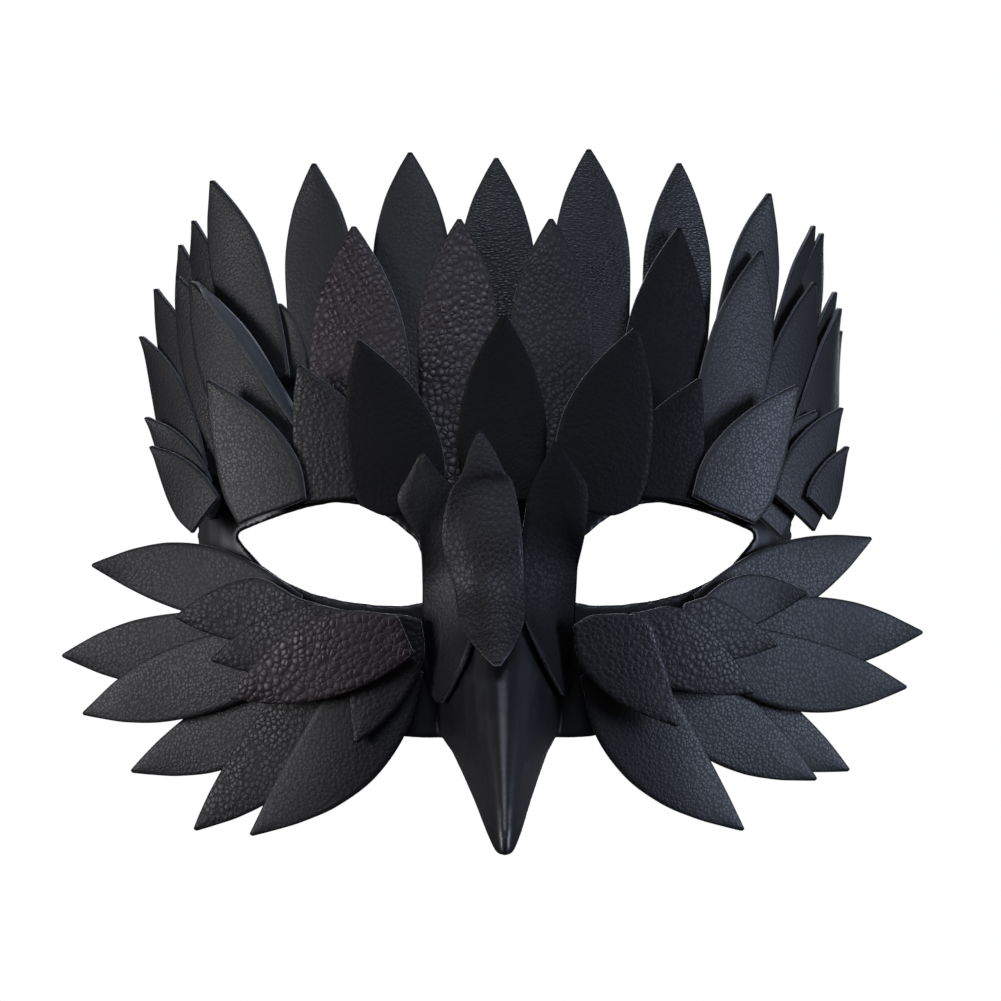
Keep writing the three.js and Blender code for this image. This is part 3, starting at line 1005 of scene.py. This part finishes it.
@dataclass
class FeltLining:
    """The felt glued inside the brow and cheeks."""

    thickness_mm: float = 1.5
    voxel_mm: float = 0.55
    smoothing: int = 4
    slices: int = 40

    def flat_size(self, node: bpy.types.Object) -> tuple[float, float, float]:
        """Works out the cut that the lining's node was bent from.

        Args:
            node: the lining's node.

        Returns:
            The width along the curve of the face, the height, and the area of the cut.
        """
        work = merged_copy(node)
        area = work.calc_volume() / (self.thickness_mm * MM)
        points = np.array([v.co[:] for v in work.verts])
        work.free()
        low, high = points.min(axis=0), points.max(axis=0)
        edges = np.linspace(low[0], high[0], self.slices + 1)
        front = [
            points[(points[:, 0] >= a) & (points[:, 0] <= b)][:, :2]
            for a, b in zip(edges[:-1], edges[1:], strict=True)
        ]
        path = np.array([slab[slab[:, 1].argmin()] for slab in front if len(slab)])
        path = np.concatenate([path, points[points[:, 0].argmax()][None, :2]])
        width = float(np.linalg.norm(np.diff(path, axis=0), axis=1).sum())
        return width, float(high[2] - low[2]), area

    def build(self, node: bpy.types.Object, material: bpy.types.Material) -> None:
        """Args:
            node: the lining's node.
            material: its felt.
        """
        lining = remeshed(node, "face_lining_felt", self.voxel_mm, self.smoothing)
        lining.data.materials.append(material)
        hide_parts(node.name)
        width, height, area = self.flat_size(node)
        log.info("lining: cut %.0f by %.0f mm, %.0f square mm", width / MM, height / MM, area / MM**2)


@dataclass
class NosePad:
    """A block of foam in a sewn cloth cover, crowned where it meets the nose."""

    crown_mm: float = 0.5
    pull_in: float = 0.05
    piping_mm: float = 0.35
    piping_width_mm: float = 0.6
    facing: float = 0.5  # how squarely the crowned face looks back at the nose
    voxel_mm: float = 0.6
    smoothing: int = 14

    def build(self, node: bpy.types.Object, material: bpy.types.Material) -> None:
        """Makes the pad from its node's block.

        Args:
            node: the pad's node.
            material: the cover's cloth.
        """
        pad = remeshed(node, "nose_pad_foam", self.voxel_mm, self.smoothing)
        points = np.array([v.co[:] for v in pad.data.vertices])
        normals = np.array([v.normal[:] for v in pad.data.vertices])
        low, high = points.min(axis=0), points.max(axis=0)
        middle, half = (low + high) / 2, (high - low) / 2
        share = (points - middle) / half
        round_x, round_z = 1 - share[:, 0] ** 2, 1 - share[:, 2] ** 2
        seam = np.exp(-(((points[:, 1] - middle[1]) / (self.piping_width_mm * MM)) ** 2))
        side = 1 - np.abs(normals[:, 1])
        points += normals * (self.piping_mm * MM * seam * side)[:, None]
        points[:, 0] -= share[:, 0] * half[0] * self.pull_in * round_z
        points[:, 2] -= share[:, 2] * half[2] * self.pull_in * round_x
        points[:, 1] += self.crown_mm * MM * round_x * round_z * (normals[:, 1] > self.facing)
        pad.data.vertices.foreach_set("co", points.ravel())
        pad.data.update()
        pad.data.materials.append(material)
        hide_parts(node.name)
        log.info("nose pad: crowned %.1f mm", self.crown_mm)


@dataclass
class StrapEyelets:
    """The two plated eyelets that a strap would be tied to."""

    bevel_mm: float = 0.25
    segments: int = 3

    def dress(self, nodes: list[bpy.types.Object], material: bpy.types.Material) -> None:
        """Softens and plates the eyelets' own nodes.

        Args:
            nodes: the eyelets' nodes.
            material: their metal.
        """
        for node in nodes:
            node.data.materials.clear()
            node.data.materials.append(material)
            bevel = node.modifiers.new("rolled", "BEVEL")
            bevel.width = self.bevel_mm * MM
            bevel.segments = self.segments
            log.info("%s: plated", node.name)


# ------------------------------------------------------------------ studio


@dataclass(frozen=True)
class SoftBox:
    """A square light that looks at the mask."""

    name: str
    place_m: tuple[float, float, float]
    side_m: float
    watts: float
    colour: str

    def hang(self) -> None:
        """Puts the light in the scene."""
        data = bpy.data.lights.new(self.name, "AREA")
        data.shape = "SQUARE"
        data.size = self.side_m
        data.energy = self.watts
        data.color = srgb(self.colour)[:3]
        lamp = bpy.data.objects.new(self.name, data)
        lamp.location = self.place_m
        lamp.rotation_euler = (-Vector(self.place_m)).to_track_quat("-Z", "Y").to_euler()
        bpy.context.scene.collection.objects.link(lamp)


SOFT_BOXES = (
    SoftBox("soft_box_left", (-1.25, -0.48, 0.12), 0.55, 12.0, "#eeecf1"),
    SoftBox("soft_box_right", (1.25, -0.42, 0.1), 0.55, 12.5, "#d3e0ff"),
    SoftBox("soft_box_top", (0.0, -0.85, 1.0), 0.6, 7.5, "#e2eaff"),
    SoftBox("soft_box_back_left", (-0.3, 1.5, 0.5), 0.8, 13.0, "#ffffff"),
    SoftBox("soft_box_back_right", (0.3, 1.5, 0.4), 0.8, 12.0, "#f4f6ff"),
)


@dataclass
class Studio:
    """A white sweep, soft boxes and the camera."""

    camera_mm: tuple[float, float, float] = (-22.0, -814.0, -4.8)
    turn_deg: float = -1.6
    lens_mm: float = 135.2
    sensor_mm: float = 36.0
    far_m: float = 100.0
    white: str = "#ffffff"
    floor_radius_m: float = 15.0
    floor_sides: int = 96
    air_light: float = 0.05
    floor_drop_mm: float = 60.0

    def build(self) -> None:
        """Makes the camera, the surroundings and the lights."""
        self.camera()
        self.floor()
        self.air()
        for box in SOFT_BOXES:
            box.hang()
        view = bpy.context.scene.view_settings
        view.view_transform = "Standard"
        view.look = "None"

    def camera(self) -> None:
        """Sets the camera in front of the mask."""
        data = bpy.data.cameras.new("camera")
        data.lens = self.lens_mm
        data.sensor_width = self.sensor_mm
        data.clip_end = self.far_m
        camera = bpy.data.objects.new("camera", data)
        camera.location = Vector(self.camera_mm) * MM
        camera.rotation_euler = (math.radians(90), 0, math.radians(self.turn_deg))
        bpy.context.scene.collection.objects.link(camera)
        bpy.context.scene.camera = camera

    def floor(self) -> None:
        """Makes the white floor, which is seen but lights nothing."""
        white = bpy.data.materials.new("white_sweep")
        white.use_nodes = True
        white.node_tree.nodes.clear()
        shine = {"Color": srgb(self.white), "Strength": 1.0}
        finish_material(white.node_tree, add_node(white.node_tree, "ShaderNodeEmission", shine))
        low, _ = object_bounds()
        work = bmesh.new()
        bmesh.ops.create_circle(work, cap_ends=True, segments=self.floor_sides, radius=self.floor_radius_m)
        mesh = bpy.data.meshes.new("floor")
        work.to_mesh(mesh)
        work.free()
        mesh.materials.append(white)
        floor = bpy.data.objects.new("floor", mesh)
        floor.location = (0, 0, low[2] - self.floor_drop_mm * MM)
        for ray in ("visible_diffuse", "visible_glossy", "visible_shadow"):
            setattr(floor, ray, False)
        bpy.context.scene.collection.objects.link(floor)
        floor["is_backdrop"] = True

    def air(self) -> None:
        """Makes air that is white to look at and dim as a light."""
        world = bpy.data.worlds.new("studio_air")
        world.use_nodes = True
        tree = world.node_tree
        tree.nodes.clear()
        seen = add_node(tree, "ShaderNodeLightPath").outputs["Is Camera Ray"]
        colour = {"Color": srgb(self.white)}
        dim = add_node(tree, "ShaderNodeBackground", {**colour, "Strength": self.air_light})
        bright = add_node(tree, "ShaderNodeBackground", {**colour, "Strength": 1.0})
        mixed = add_node(tree, "ShaderNodeMixShader", {0: seen, 1: dim.outputs[0], 2: bright.outputs[0]})
        add_node(tree, "ShaderNodeOutputWorld", {"Surface": mixed.outputs[0]})
        bpy.context.scene.world = world


def main() -> None:
    """Builds the mask's pieces in order, then the studio."""
    logging.basicConfig(level=logging.INFO, format="%(name)s: %(message)s")
    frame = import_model()
    nodes = frame["nodes"]
    Plumage.as_made().build(nodes)
    MouldedShell().build(nodes["face_shell"], MouldedPlastic().material())
    FeltLining().build(nodes["face_lining"], Felt().material())
    NosePad().build(nodes["nose_pad"], Felt(name="brushed_cotton_cover", fibre="#38383d").material())
    eyelets = [nodes["strap_eyelet_left"], nodes["strap_eyelet_right"]]
    StrapEyelets().dress(eyelets, BlackNickel().material())
    Studio().build()


if __name__ == "__main__":
    main()
